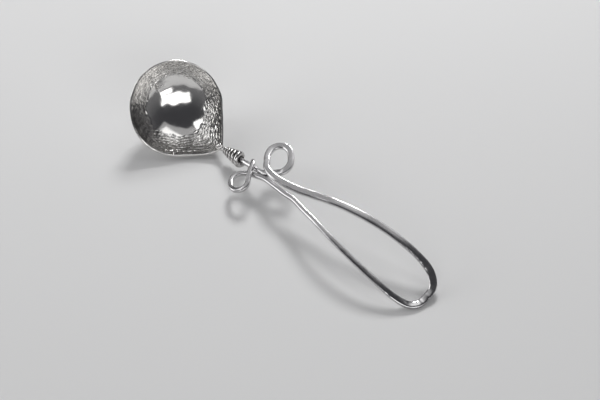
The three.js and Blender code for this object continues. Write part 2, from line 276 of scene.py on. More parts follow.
class BowlSettings(PropertyGroup):
    """Sizes and finish of the hammered bowl"""

    radius: FloatProperty(
        name="Radius", description="Radius of the round rim", default=31.5 * MM, unit="LENGTH", precision=4)
    depth: FloatProperty(
        name="Depth", description="Depth from the rim to the pole", default=20 * MM, unit="LENGTH",
        precision=4)
    wall: FloatProperty(
        name="Wall", description="Thickness of the sheet", default=1.3 * MM, unit="LENGTH", precision=4)
    tail_reach: FloatProperty(
        name="Tail Reach", description="From the bowl's axis to the tail's tip", default=42 * MM,
        unit="LENGTH", precision=4)
    tail_lift: FloatProperty(
        name="Tail Lift", description="Rise of the rim at the tail's tip", default=5.8 * MM, unit="LENGTH",
        precision=4)
    mark_depth: FloatProperty(
        name="Mark Depth", description="Depth of a hammer mark inside", default=0.17 * MM, unit="LENGTH",
        precision=5)
    mark_length: FloatProperty(
        name="Mark Length", description="Usual length of a hammer mark", default=4.2 * MM, unit="LENGTH",
        precision=4)
    disc_share: FloatProperty(
        name="Smooth Disc", description="Share of the inside left smooth, from the pole", default=0.57,
        subtype="FACTOR", min=0.2, max=0.9)
    colour: FloatVectorProperty(
        name="Colour", description="Colour of the polished metal", default=(0.80, 0.79, 0.775), size=3,
        subtype="COLOR", min=0, max=1)
    # Tarnish: patina in the hammer creases, and painted reflections in some marks
    tarnish_and_shade: FloatVectorProperty(
        name="Tarnish And Shade", description="Colour of the metal in its creases", default=(0.085, 0.08, 0.073),
        size=3, subtype="COLOR", min=0, max=1)


class HandleSettings(PropertyGroup):
    """Sizes and finish of the forged handle rod"""

    reach: FloatProperty(
        name="Reach", description="From the tail's tip to the round end", default=174.5 * MM, unit="LENGTH",
        precision=4)
    crown_height: FloatProperty(
        name="Arch", description="Rise of the arch above the tail's tip", default=14 * MM, unit="LENGTH",
        precision=4)
    end_fall: FloatProperty(
        name="End Fall", description="Fall from the arch to the round end", default=18.94 * MM, unit="LENGTH",
        precision=4)
    far_half_width: FloatProperty(
        name="Far Half Width", description="From the handle's line to the far bar", default=16 * MM,
        unit="LENGTH", precision=4)
    near_half_width: FloatProperty(
        name="Near Half Width", description="From the handle's line to the near bar", default=14.7 * MM,
        unit="LENGTH", precision=4)
    mark_depth: FloatProperty(
        name="Mark Depth", description="Depth of a hammer mark on the flats", default=0.05 * MM,
        unit="LENGTH", precision=5)
    colour: FloatVectorProperty(
        name="Colour", description="Colour of the polished metal", default=(0.64, 0.635, 0.64), size=3,
        subtype="COLOR", min=0, max=1)
    tarnish_and_shade: FloatVectorProperty(
        name="Tarnish And Shade", description="Colour of the duller patches", default=(0.40, 0.39, 0.40), size=3,
        subtype="COLOR", min=0, max=1)


class BindingSettings(PropertyGroup):
    """Sizes and finish of the wire wound round the neck"""

    turns: FloatProperty(
        name="Turns", description="How often the wire goes round", default=5.5, min=1, max=12)
    thin: FloatProperty(
        name="Thin End", description="Wire thickness at the bowl", default=1.05 * MM, unit="LENGTH",
        precision=4)
    thick: FloatProperty(
        name="Thick End", description="Wire thickness at the handle", default=3.35 * MM, unit="LENGTH",
        precision=4)
    colour: FloatVectorProperty(
        name="Colour", description="Colour of the polished wire", default=(0.66, 0.65, 0.645), size=3,
        subtype="COLOR", min=0, max=1)
    # Painted shade: the wire takes this colour where one turn faces the next
    tarnish_and_shade: FloatVectorProperty(
        name="Tarnish And Shade", description="Colour of the wire between its turns", default=(0.12, 0.112, 0.105),
        size=3, subtype="COLOR", min=0, max=1)


class SolderSettings(PropertyGroup):
    """Sizes and finish of the solder in the tail"""

    length: FloatProperty(
        name="Length", description="Half the length of the lump", default=3.6 * MM, unit="LENGTH",
        precision=4)
    radius: FloatProperty(
        name="Radius", description="Half the thickness of the lump", default=2.1 * MM, unit="LENGTH",
        precision=4)
    colour: FloatVectorProperty(
        name="Colour", description="Colour of the solder", default=(0.72, 0.71, 0.70), size=3,
        subtype="COLOR", min=0, max=1)
    # Painted shade: the solder takes this colour towards its underside
    tarnish_and_shade: FloatVectorProperty(
        name="Tarnish And Shade", description="Colour of the solder's dull patches", default=(0.30, 0.29, 0.28), size=3,
        subtype="COLOR", min=0, max=1)


class StageSettings(PropertyGroup):
    """The table, the light and the camera"""

    floor_colour: FloatVectorProperty(
        name="Table", description="Colour of the table", default=(0.70, 0.70, 0.70), size=3, subtype="COLOR",
        min=0, max=1)
    sky_colour: FloatVectorProperty(
        name="Overhead", description="Colour of the room overhead", default=(0.05, 0.05, 0.055), size=3,
        subtype="COLOR", min=0, max=1)
    wall_colour: FloatVectorProperty(
        name="Walls", description="Colour of the room at table height", default=(0.16, 0.16, 0.165), size=3,
        subtype="COLOR", min=0, max=1)
    azimuth: FloatProperty(
        name="Azimuth", description="Camera's place round the ladle", default=math.radians(43.93),
        subtype="ANGLE")
    elevation: FloatProperty(
        name="Elevation", description="Camera's height as an angle", default=math.radians(50),
        subtype="ANGLE")
    distance: FloatProperty(
        name="Distance", description="From the camera to its aim", default=0.9677, unit="LENGTH")
    lens: FloatProperty(name="Lens", description="Focal length in millimetres", default=90, min=10)


class LadleSettings(PropertyGroup):
    """Everything that can be set about the ladle"""

    bowl: PointerProperty(type=BowlSettings, name="Bowl", description="The hammered bowl")
    handle: PointerProperty(type=HandleSettings, name="Handle", description="The forged rod")
    binding: PointerProperty(type=BindingSettings, name="Binding", description="The wound wire")
    solder: PointerProperty(type=SolderSettings, name="Solder", description="The solder in the tail")
    stage: PointerProperty(type=StageSettings, name="Stage", description="Table, light and camera")


# Shared tools of the bench

def points_of(piece):
    places = np.zeros(len(piece.data.vertices) * 3)
    piece.data.vertices.foreach_get("co", places)
    return places.reshape(-1, 3)


def put_points(piece, places):
    piece.data.vertices.foreach_set("co", np.ascontiguousarray(places).ravel())
    piece.data.update()


def normals_of(piece):
    ways = np.zeros(len(piece.data.vertices) * 3)
    piece.data.vertex_normals.foreach_get("vector", ways)
    return ways.reshape(-1, 3)


def values_of(piece, name):
    values = np.zeros(len(piece.data.vertices))
    piece.data.attributes[name].data.foreach_get("value", values)
    return values


def put_values(piece, name, values):
    kept = piece.data.attributes.get(name) or piece.data.attributes.new(name, "FLOAT", "POINT")
    kept.data.foreach_set("value", np.ascontiguousarray(values, dtype=np.float32))


def ease(value, low, high):
    share = np.clip((value - low) / (high - low), 0, 1)
    return share * share * (3 - 2 * share)


def signed_power(value, power):
    return np.sign(value) * np.abs(value) ** power


def blend(first, last, share):
    return first + (last - first) * share


def waves(place, draw, longest, count):
    """A seeded uneven line of about unit height, made of waves of about the longest length and shorter"""
    total = np.zeros_like(place)
    for wave in range(1, count + 1):
        length = longest / (wave + draw.uniform(-0.3, 0.3))
        total += np.sin(TURN * (place / length + draw.random())) / math.sqrt(wave)
    return total / math.sqrt(count)


def ring_waves(angle, draw, slowest, count):
    """A seeded uneven line round a ring, of whole waves so that it closes"""
    total = np.zeros_like(angle)
    for wave in range(slowest, slowest + count):
        total += np.sin(wave * angle + TURN * draw.random())
    return total / math.sqrt(count)


def through_marks(marks, steps):
    """A smooth line through the marks, with steps between each two, as points"""
    ends = [2 * marks[0] - marks[1], *marks, 2 * marks[-1] - marks[-2]]
    line = []
    shares = np.arange(steps)[:, None] / steps
    for before, start, end, after in zip(ends, ends[1:], ends[2:], ends[3:]):
        gaps = [math.sqrt(np.linalg.norm(b - a)) for a, b in ((before, start), (start, end), (end, after))]
        leave = (start - before) / gaps[0] - (end - before) / (gaps[0] + gaps[1]) + (end - start) / gaps[1]
        arrive = (end - start) / gaps[1] - (after - start) / (gaps[1] + gaps[2]) + (after - end) / gaps[2]
        leave, arrive = leave * gaps[1], arrive * gaps[1]
        line.append(start + leave * shares + (3 * (end - start) - 2 * leave - arrive) * shares ** 2
                    + (2 * (start - end) + leave + arrive) * shares ** 3)
    line.append(marks[-1][None, :])
    return np.concatenate(line)


def lengths_along(line):
    return np.concatenate([[0], np.cumsum(np.linalg.norm(np.diff(line, axis=0), axis=1))])


def draw_bar(name, sides, cuts):
    """A straight round bar of radius 1 along X from 0 to 1, cut into many short lengths"""
    bpy.ops.object.select_all(action="DESELECT")
    bpy.ops.mesh.primitive_cylinder_add(
        vertices=sides, radius=1, depth=1, end_fill_type="NGON", location=(0.5, 0, 0),
        rotation=(0, math.pi / 2, 0))
    bar = bpy.context.object
    bar.name = bar.data.name = name
    bpy.ops.object.transform_apply(location=True, rotation=True, scale=True)
    for count in cuts:
        bpy.ops.object.mode_set(mode="EDIT")
        bpy.ops.mesh.select_mode(type="EDGE")
        bpy.ops.mesh.select_all(action="DESELECT")
        cage = bmesh.from_edit_mesh(bar.data)
        for edge in cage.edges:
            first, last = edge.verts
            edge.select = abs(first.co.x - last.co.x) > 1e-5
        bmesh.update_edit_mesh(bar.data)
        bpy.ops.mesh.subdivide(number_cuts=count)
        bpy.ops.object.mode_set(mode="OBJECT")
    return bar


def rounded_ends(place, total, radius):
    """The share of its thickness that a bar keeps at each place, so that both ends are rounded over"""
    ends = np.minimum(place, total - place)
    return np.sqrt(np.clip(1 - (1 - np.clip(ends / radius, 0, 1)) ** 2, LEAST_END, 1))


def bend_along(bar, line, twist):
    """Bends a straight bar, drawn to its real length, along a line and leaves only the bent bar"""
    path_data = bpy.data.curves.new(bar.name + "_line", "CURVE")
    path_data.dimensions = "3D"
    path_data.twist_mode = twist
    spline = path_data.splines.new("POLY")
    spline.points.add(len(line) - 1)
    spline.points.foreach_set("co", np.c_[line, np.ones(len(line))].ravel())
    path = bpy.data.objects.new(path_data.name, path_data)
    bpy.context.collection.objects.link(path)
    bend = bar.modifiers.new("bend", "CURVE")
    bend.object = path
    bend.deform_axis = "POS_X"
    bpy.context.view_layer.objects.active = bar
    bpy.ops.object.modifier_apply(modifier=bend.name)
    bpy.data.objects.remove(path)
    bpy.data.curves.remove(path_data)


def choose(piece):
    """Leaves one piece selected and active, for the operators that follow"""
    bpy.ops.object.select_all(action="DESELECT")
    piece.select_set(True)
    bpy.context.view_layer.objects.active = piece


def lay_down(piece, place):
    """Turns a piece into its place, with its own origin at the middle of the ladle's footprint"""
    choose(piece)
    piece.matrix_world = place
    bpy.ops.object.transform_apply(location=True, rotation=True, scale=True)


def press_flat(piece):
    """Nothing goes below the table, so a piece that touches it gets a small flat"""
    places = points_of(piece)
    places[:, 2] = np.maximum(places[:, 2], 0)
    put_points(piece, places)


def finish_piece(piece, node, material, sharp_edge):
    """Smooths a piece, gives it its metal, puts it under the root body and hides the solid it stands for"""
    choose(piece)
    bpy.ops.object.shade_smooth_by_angle(angle=sharp_edge)
    piece.data.materials.clear()
    piece.data.materials.append(material)
    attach(piece, "root")
    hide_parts(node)


# Bowl

def bowl_point(bowl, angle, share):
    """A point of the bowl's outer skin: angle round the axis from the tail, share from the pole to the rim"""
    spread = math.acos(bowl.radius / bowl.tail_reach)
    off = np.hypot(np.arctan2(np.sin(angle), np.cos(angle)), TAIL_ROUNDING)
    towards_tail = np.maximum(0, spread - off)
    near_side = np.clip(np.arctan2(-np.sin(angle), np.cos(angle)) / NEAR_FLANK_SPAN, 0, 1)
    full = NEAR_FLANK * np.sin(math.pi * near_side ** NEAR_FLANK_LEAN) ** 2
    oval = BOWL_OVAL * np.cos(2 * (angle - BOWL_OVAL_LIES))
    flare = np.maximum(0, (share - TAIL_STARTS) / (1 - TAIL_STARTS)) ** TAIL_FLARE
    rim_radius = (bowl.radius + oval) * blend(1, 1 / np.cos(towards_tail), flare) + flare * full
    rim_height = flare * bowl.tail_lift * (towards_tail / spread) ** TAIL_CURVE
    polar = share * BOWL_SWEEP
    across = rim_radius * np.sin(polar) / math.sin(BOWL_SWEEP)
    rise = (1 - np.cos(polar)) / (1 - math.cos(BOWL_SWEEP))
    height = blend(-bowl.depth, rim_height, rise)
    return np.stack([across * np.cos(angle), across * np.sin(angle), height], axis=-1)


def bowl_place(bowl):
    """How the bowl lies: turned, tipped and rolled, then set where the solid bowl is"""
    turned = (Matrix.Rotation(BOWL_ROLL, 4, "X") @ Matrix.Rotation(BOWL_TIP, 4, "Y")
              @ Matrix.Rotation(BOWL_TURN, 4, "Z"))
    angle, share = np.meshgrid(np.linspace(0, TURN, BOWL_SECTORS), np.linspace(0, 1, BOWL_RINGS))
    skin = bowl_point(bowl, angle, share).reshape(-1, 3) @ np.array(turned.to_3x3()).T
    low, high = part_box("bowl")
    shift = Vector((low.x - skin[:, 0].min(), low.y - skin[:, 1].min(), high.z - skin[:, 2].max()))
    return Matrix.Translation(shift) @ turned


def handle_place(bowl):
    """The handle's own frame, which starts at the tail's tip"""
    tip = bowl_place(bowl) @ Vector(bowl_point(bowl, np.array(0.0), np.array(1.0)))
    start = Matrix.Translation(tip + Vector((0, 0, TAIL_SEAT * MM)))
    return start @ Matrix.Rotation(HANDLE_TURN, 4, "Z") @ Matrix.Rotation(HANDLE_ROLL, 4, "X")


def hammer_rows(bowl, angle, share, first, kind, draw):
    """Rows of hammer marks round the bowl: how deep each point lies, and how dark it is there, from patina in
    the creases and a painted reflection in some marks
    """
    rows, length_share = kind
    length = length_share * bowl.mark_length
    row_height = (1 - first) / rows
    usual_first, usual_height = np.mean(first), np.mean(row_height)
    sway = (ROW_SWAY_SHARE * row_height + ROW_SWAY) * ring_waves(angle, draw, *ROW_WAVES)
    place = (share + sway - first) / row_height
    depth = np.zeros_like(angle)
    dull_and_shade = np.zeros_like(angle)
    for row in range(rows):
        here = (place >= row) & ((place < row + 1) | (row == rows - 1))
        polar = (usual_first + (row + 0.5) * usual_height) * BOWL_SWEEP
        ring = bowl.radius * math.sin(polar) / math.sin(BOWL_SWEEP)
        count = max(FEWEST_MARKS, round(TURN * ring / length))
        edges = np.cumsum(draw.uniform(*MARK_LENGTHS, count))
        edges *= TURN / edges[-1]
        strike = draw.uniform(*MARK_STRIKES, count)
        lean = draw.uniform(-1, 1, (count, 2))
        # Painted reflection: some marks are darkened at random, standing in for facets that reflect the dark
        # room
        tone = DARKEST_PAINTED_REFLECTION * draw.random(count) ** 2
        offset = draw.random() * TURN
        inner = place[here] - row
        turned = (angle[here] + offset + MARK_SLANT * (inner - 0.5)) % TURN
        mark = np.minimum(np.searchsorted(edges, turned), count - 1)
        start = np.where(mark > 0, edges[mark - 1], 0)
        along = 2 * (turned - start) / (edges[mark] - start) - 1
        across = 2 * np.clip(inner, 0, 1) - 1
        dish = (1 - across ** MARK_CRISPNESS) * (1 - along ** MARK_CRISPNESS)
        depth[here] = strike[mark] * dish * (1 + lean[mark, 0] * along + lean[mark, 1] * across)
        clear = np.minimum(CREASE_ALONG * (1 - np.abs(along)), CREASE_ACROSS * (1 - np.abs(across)))
        crease = 1 - np.clip(clear, 0, 1)
        # Darkening: patina along the creases, and the painted reflection over the whole mark
        dull_and_shade[here] = np.maximum(crease * np.minimum(strike[mark], 1), tone[mark] * dish)
    return depth, dull_and_shade


def raise_bowl(bowl):
    """Raises half a ball to the bowl's skin, gives it a wall, rounds its rim and hammers it"""
    bpy.ops.object.select_all(action="DESELECT")
    bpy.ops.mesh.primitive_uv_sphere_add(segments=BOWL_SECTORS, ring_count=2 * BOWL_RINGS, radius=1)
    piece = bpy.context.object
    piece.name = piece.data.name = "hammered_bowl"
    bpy.ops.object.mode_set(mode="EDIT")
    bpy.ops.mesh.select_all(action="SELECT")
    bpy.ops.mesh.bisect(plane_co=(0, 0, 0), plane_no=(0, 0, 1), clear_outer=True)
    bpy.ops.object.mode_set(mode="OBJECT")

    # Raise the half ball to the bowl's own skin
    ball = points_of(piece)
    angle = np.arctan2(ball[:, 1], ball[:, 0])
    ring = np.arccos(np.clip(-ball[:, 2], -1, 1)) / (math.pi / 2)
    share = np.interp(ring, (0, DISC_RINGS, 1), (0, bowl.disc_share - DISC_LEAN, 1))
    put_points(piece, bowl_point(bowl, angle, share))
    put_values(piece, "angle_east", np.cos(angle))
    put_values(piece, "angle_north", np.sin(angle))
    put_values(piece, "share", share)

    # Give the sheet its thickness, inwards
    outside = len(piece.data.vertices)
    wall = piece.modifiers.new("wall", "SOLIDIFY")
    wall.thickness = bowl.wall
    wall.offset = -1
    wall.use_even_offset = True
    bpy.ops.object.modifier_apply(modifier=wall.name)
    inside = (np.arange(len(piece.data.vertices)) >= outside).astype(float)
    put_values(piece, "inside", inside)

    # Round the rim's two edges
    share = values_of(piece, "share")
    bpy.ops.object.mode_set(mode="EDIT")
    bpy.ops.mesh.select_mode(type="EDGE")
    bpy.ops.mesh.select_all(action="DESELECT")
    cage = bmesh.from_edit_mesh(piece.data)
    for edge in cage.edges:
        first, last = (vert.index for vert in edge.verts)
        at_rim = min(share[first], share[last]) > RIM_SHARE
        edge.select = at_rim and inside[first] == inside[last]
    bmesh.update_edit_mesh(piece.data)
    bpy.ops.mesh.bevel(
        affect="EDGES", offset=RIM_ROUNDING, offset_type="OFFSET", segments=RIM_ROUNDING_CUTS)
    bpy.ops.object.mode_set(mode="OBJECT")
    hammer_bowl(bowl, piece)
    return piece


def hammer_bowl(bowl, piece):
    """Strikes the marks: rows of small facets inside round a smooth disc, broader ones outside"""
    draw = np.random.default_rng(BOWL_SEED)
    places, ways = points_of(piece), normals_of(piece)
    angle = np.arctan2(values_of(piece, "angle_north"), values_of(piece, "angle_east"))
    share, inside = values_of(piece, "share"), values_of(piece, "inside")
    disc = bowl.disc_share + DISC_LEAN * np.cos(angle - DISC_LEANS_TO)
    courses, course_darkening = hammer_rows(bowl, angle, share, disc, COURSES, draw)
    fine, fine_darkening = hammer_rows(bowl, angle, share, disc, FINE_MARKS, draw)
    broad, broad_darkening = hammer_rows(bowl, angle, share, BROAD_STARTS, BROAD_MARKS, draw)
    is_inside = inside > 0.5
    struck = bowl.mark_depth * np.where(is_inside, courses + FINE_DEPTH * fine, BROAD_DEPTH * broad)
    # Inside, patina in the creases and painted reflections in the marks; outside, little of either
    dull_and_shade = np.where(is_inside, np.maximum(COURSE_DARKENING * course_darkening, fine_darkening), BROAD_DARKENING * broad_darkening)
    calm = 1 - RIM_CALM * ease(share, CALM_STARTS, 1)
    uneven = SHEET_UNEVEN * (waves(places[:, 0], draw, SHEET_WAVES[0], SHEET_WAVE_COUNT)
                             + waves(places[:, 1], draw, SHEET_WAVES[1], SHEET_WAVE_COUNT))
    places += ways * (uneven - calm * struck)[:, None]

    # The rim is cut and filed by hand
    at_rim = ease(share, RIM_STARTS, 1)
    places[:, 2] += RIM_LIFT * at_rim * ring_waves(angle, draw, *RIM_LIFT_WAVES)
    outward = places[:, :2] / np.maximum(np.linalg.norm(places[:, :2], axis=1), MM)[:, None]
    spread = RIM_SPREAD * at_rim * ring_waves(angle, draw, *RIM_SPREAD_WAVES)
    places[:, :2] += outward * spread[:, None]
    put_points(piece, places)
    # Kept for the metal: patina in the creases and painted reflections in the marks
    put_values(piece, "shade_and_dullness", dull_and_shade * calm)


# Handle

def arch_height(handle, along):
    """Height of the handle's plane at each millimetre along it, in millimetres"""
    reach, crown, fall = handle.reach / MM, handle.crown_height / MM, handle.end_fall / MM
    neck = crown * (1 - (np.maximum(CROWN_AT - along, 0) / CROWN_AT) ** NECK_CURVE)
    return neck - fall * (np.maximum(along - CROWN_AT, 0) / (reach - CROWN_AT)) ** END_CURVE


def shank_share(along):
    """How far the shank has grown from its tip to its full section, at each millimetre along"""
    return np.clip((along + SHANK_ENTRY) / (SHANK_TAPER_END + SHANK_ENTRY), 0, 1)


def grip_half(along, fork, half_width):
    share = (along - FORK_AT) / (GRIP_WIDEST_AT - FORK_AT)
    return fork + (half_width - fork) * math.sin(share * math.pi / 2)


def curl_marks(curl, side, count):
    middle = side * (curl["radius"] + curl["off"])
    for share in np.linspace(0, 1, count):
        angle = math.radians(blend(curl["from"], curl["to"], share))
        radius = curl["radius"] + curl["oval"] * math.cos(2 * (angle - math.radians(curl["lies"])))
        yield curl["at"] + radius * math.cos(angle), middle + radius * math.sin(angle), share


def rod_marks(handle):
    """The rod's line as marks in millimetres: along, across, lift above the arch, and section"""
    marks = []

    def add(along, across, lift, section):
        marks.append(np.array([along, across, lift, *section]))

    # Shank, then the large curl, which climbs and comes back over the shank
    for along in np.linspace(-SHANK_ENTRY, LARGE_CURL["at"] - SHANK_BEND["before"], SHANK_MARKS):
        add(along, 0, 0, blend(SHANK_TIP, SHANK, shank_share(along)))
    add(LARGE_CURL["at"] + SHANK_BEND["past"], SHANK_BEND["across"], 0, blend(SHANK, LARGE_BAND, 0.5))
    over_shank = (SHANK[1] + LARGE_BAND[1]) / 2 + STRAND_CLEAR
    crossed = LARGE_CURL["at"] + BACK_STRAND[1][0]

    def sinking(along):
        share = np.clip((BACK_STRAND_LANDS - along) / (BACK_STRAND_LANDS - crossed), 0, 1)
        return over_shank * share ** LANDING_CURVE

    for along, across, share in curl_marks(LARGE_CURL, 1, LARGE_CURL_MARKS):
        add(along, across, over_shank * share, LARGE_BAND)
    for mark, (past, across) in enumerate(BACK_STRAND):
        along = LARGE_CURL["at"] + past
        add(along, across, sinking(along), blend(LARGE_BAND, FAR_BAR, mark / len(BACK_STRAND)))

    # Grip loop: far bar, round end, near bar
    far, near = handle.far_half_width / MM, handle.near_half_width / MM
    bar_shares = np.arange(BAR_MARKS) / BAR_MARKS
    for share in bar_shares:
        along = blend(FORK_AT, GRIP_WIDEST_AT, share)
        add(along, grip_half(along, FAR_FORK, far), sinking(along), FAR_BAR)
    for share in np.linspace(0, 1, LOOP_END_MARKS):
        angle = math.pi * (0.5 - share)
        along = blend(GRIP_WIDEST_AT, handle.reach / MM, signed_power(math.cos(angle), 2 / END_FULLNESS))
        across = blend(far, near, share) * signed_power(math.sin(angle), 2 / END_FULLNESS)
        bar = FAR_BAR if share < 0.5 else NEAR_BAR
        add(along, across, 0, blend(bar, LOOP_END, math.sin(share * math.pi)))
    for share in bar_shares[::-1]:
        along = blend(FORK_AT, GRIP_WIDEST_AT, share)
        add(along, -grip_half(along, NEAR_FORK, near), 0, blend(NEAR_STRAND, NEAR_BAR, share))

    # Beside the shank to the small curl, whose end hooks over the shank
    beside_shank = -(SHANK[0] + NEAR_STRAND[0]) / 2 - STRAND_CLEAR
    for share, aside in SIDE_STRAND:
        add(blend(LARGE_CURL["at"], FORK_AT, share), beside_shank + aside, 0, NEAR_STRAND)
    for past, aside in SMALL_CURL_LEAD:
        add(SMALL_CURL["at"] + past, beside_shank + aside, 0, SMALL_BAND)
    over_neck = (SHANK[1] + SMALL_BAND[1]) / 2 + STRAND_CLEAR
    for along, across, share in curl_marks(SMALL_CURL, -1, SMALL_CURL_MARKS):
        add(along, across, HOOK_CLIMB * over_neck * share, SMALL_BAND)
    hook_side = (SHANK[0] + HOOK_TIP[0]) / 2 + STRAND_CLEAR
    lead = SMALL_CURL["at"] + HOOK_LEAD["past"]
    add(lead, beside_shank - HOOK_LEAD["aside"], HOOK_LEAD["climbed"] * over_neck, SMALL_BAND)
    add(HOOK_AT, HOOK_CROSS, over_neck, blend(SMALL_BAND, HOOK_TIP, 0.5))
    for before, across, climbed in HOOK_MARKS:
        add(HOOK_AT - before, across * hook_side, climbed * over_neck, HOOK_TIP)
    return np.array(marks)


def strike_along(place, blows, draw):
    """Hammer marks one after another along a bar: how deep each place lies, and how far it leans"""
    length, deepest, steepest = blows
    count = int(place.max() / length) + 2
    edges = np.cumsum(draw.uniform(*BLOW_LENGTHS, count)) * length
    edges *= max(1, place.max() / edges[-1] * BLOW_OVERRUN)
    strike = draw.uniform(*BLOW_STRIKES, count)
    lean = draw.uniform(-1, 1, count)
    mark = np.searchsorted(edges, place)
    start = np.where(mark > 0, edges[mark - 1], 0)
    along = 2 * (place - start) / (edges[mark] - start) - 1
    dish = 1 - along ** 2
    return deepest * (strike[mark] * dish), steepest * (lean[mark] * dish)


def forge_rod(bowl, handle):
    """Draws a bar out, hammers it flat where the handle is flat, and bends it to the handle's line"""
    draw = np.random.default_rng(ROD_SEED)
    marks = rod_marks(handle)
    heights = arch_height(handle, marks[:, 0]) + marks[:, 2]
    line = through_marks(np.c_[marks[:, 0], marks[:, 1], heights] * MM, ROD_STEPS)
    lengths = lengths_along(line)
    steps = np.arange(len(line)) / ROD_STEPS
    sections = [np.interp(steps, np.arange(len(marks)), column) for column in marks[:, 3:].T]

    bar = draw_bar("forged_rod", ROD_SIDES, ROD_CUTS)
    straight = points_of(bar)
    place = straight[:, 0] * lengths[-1]
    width, thickness, square = (np.interp(place, lengths, row) for row in sections)
    width, thickness = width * MM / 2, thickness * MM / 2
    # The front edges of the bars are rounder than the back ones
    heading = np.interp(place, lengths, np.gradient(line[:, 0], lengths))
    front = np.clip(-FRONT_SOFTENS * heading * straight[:, 1], 0, 1)
    square = blend(square, np.minimum(square, FRONT_SQUARE), front)
    side, top = signed_power(straight[:, 1], 2 / square), signed_power(straight[:, 2], 2 / square)

    # Hammer marks on the flats and the edges, deepest round the loop's end
    flatness = ease(square, *FLAT_SQUARE)
    reach = np.interp(place, lengths, line[:, 0])
    harder = 1 + HARDER_BLOWS * ease(reach, *HARDER_FROM)
    force = handle.mark_depth * blend(ROUND_FORCE, 1, flatness) * harder
    at_end = ease(reach, *END_FROM)
    for half in (1, -1):
        deep, lean = strike_along(place, FLAT_BLOWS, draw)
        on_half = np.clip(half * straight[:, 2] * FLAT_REACH, 0, 1)
        top -= half * on_half * force * (deep + lean * side) / thickness
        deep, lean = strike_along(place, END_BLOWS, draw)
        top -= half * on_half * at_end * handle.mark_depth * (deep + lean * side) / thickness
        deep, lean = strike_along(place, EDGE_BLOWS, draw)
        on_edge = np.clip(half * straight[:, 1] * EDGE_REACH, 0, 1)
        side -= half * on_edge * force * (deep + lean * straight[:, 2]) / width
    width = width * (1 + ROD_UNEVEN * waves(place, draw, *ROD_WAVES))

    round_over = rounded_ends(place, lengths[-1], thickness)
    put_points(bar, np.c_[place, side * width * round_over, top * thickness * round_over])
    put_values(bar, "shade_and_dullness", np.clip(0.5 + 0.5 * waves(place, draw, *PATCH_WAVES), 0, 1))
    bend_along(bar, line, "Z_UP")
    lay_down(bar, handle_place(bowl))
    press_flat(bar)
    return bar


# Binding

def binding_line(handle, binding, count):
    """Points and thickness along the wound wire, in millimetres"""
    share = np.linspace(0, 1, count)
    thin, thick = BINDING_PITCH
    turn = BINDING_BEGINS + TURN * binding.turns * share
    along = BINDING_START + binding.turns * (thin * share + (thick - thin) * share ** 2 / 2)
    wire = blend(binding.thin, binding.thick, share) / MM
    core = blend(SHANK_TIP[0], SHANK[0], shank_share(along))
    radius = core / 2 + CLEARANCE + BINDING_SLACK * share + wire / 2
    slope = np.arctan(arch_height(handle, along + 0.5) - arch_height(handle, along - 0.5))
    line = np.c_[
        along - radius * np.sin(turn) * np.sin(slope),
        radius * np.cos(turn),
        arch_height(handle, along) + radius * np.sin(turn) * np.cos(slope),
    ]
    # Straight ends, one wire thickness long
    first, last = line[0] - line[1], line[-1] - line[-2]
    line = np.concatenate([
        [line[0] + first / np.linalg.norm(first) * wire[0]],
        line,
        [line[-1] + last / np.linalg.norm(last) * wire[-1]],
    ])
    return line, np.concatenate([wire[:1], wire, wire[-1:]])


def wind_wire(bowl, handle, binding):
    """Draws the wire to its taper and winds it round the neck"""
    draw = np.random.default_rng(WIRE_SEED)
    line, wire = binding_line(handle, binding, WIRE_STEPS)
    line, wire = line * MM, wire * MM
    lengths = lengths_along(line)
    bar = draw_bar("wound_wire", WIRE_SIDES, WIRE_CUTS)
    straight = points_of(bar)
    place = straight[:, 0] * lengths[-1]
    radius = np.interp(place, lengths, wire) / 2
    radius *= 1 + WIRE_UNEVEN * waves(place, draw, *WIRE_WAVES)
    round_over = rounded_ends(place, lengths[-1], radius)
    put_points(bar, np.c_[place, straight[:, 1:] * (radius * round_over)[:, None]])
    bend_along(bar, line, "MINIMUM")

    # Painted shade: the wire is darkened where one turn faces the next, and much less on the free faces of
    # the end turns
    faces_handle = normals_of(bar)[:, 0]
    end_turn = END_TURN * lengths[-1] / binding.turns
    free_at_bowl = (place < end_turn) & (faces_handle < 0)
    free_at_handle = (lengths[-1] - place < end_turn) & (faces_handle > 0)
    dull_and_shade = np.where(free_at_bowl | free_at_handle, FREE_FACE_SHADE, 1)
    put_values(bar, "shade_and_dullness", ease(np.abs(faces_handle), *FACING_TURN) * dull_and_shade)
    lay_down(bar, handle_place(bowl))
    return bar


# Solder

def run_solder(bowl, handle, solder):
    """A lump that has run round the shank's end, uneven like solder that was left as it set"""
    bpy.ops.object.select_all(action="DESELECT")
    bpy.ops.mesh.primitive_ico_sphere_add(subdivisions=SOLDER_FINENESS, radius=1)
    lump = bpy.context.object
    lump.name = lump.data.name = "solder_lump"
    lump.scale = (solder.length, solder.radius, solder.radius)
    bpy.ops.object.transform_apply(location=True, rotation=True, scale=True)
    cloud = bpy.data.textures.new("solder_cloud", "CLOUDS")
    cloud.noise_scale = SOLDER_LUMPS
    cloud.noise_depth = SOLDER_LUMP_DEPTH
    swell = lump.modifiers.new("swell", "DISPLACE")
    swell.texture = cloud
    swell.texture_coords = "LOCAL"
    swell.strength = SOLDER_SWELL
    swell.mid_level = SOLDER_MIDDLE
    bpy.ops.object.modifier_apply(modifier=swell.name)
    bpy.data.textures.remove(cloud)
    # Painted shade: the lump is darkened towards its underside
    put_values(lump, "shade_and_dullness", ease(-points_of(lump)[:, 2], -solder.radius, solder.radius))
    middle = -solder.length / 2
    seat = Vector((middle, 0, arch_height(handle, np.array(middle / MM)) * MM))
    lay_down(lump, handle_place(bowl) @ Matrix.Translation(seat))
    return lump


# Finish

def new_node(tree, kind, place, **settings):
    node = tree.nodes.new(kind)
    node.location = place
    for name, value in settings.items():
        setattr(node, name, value)
    return node


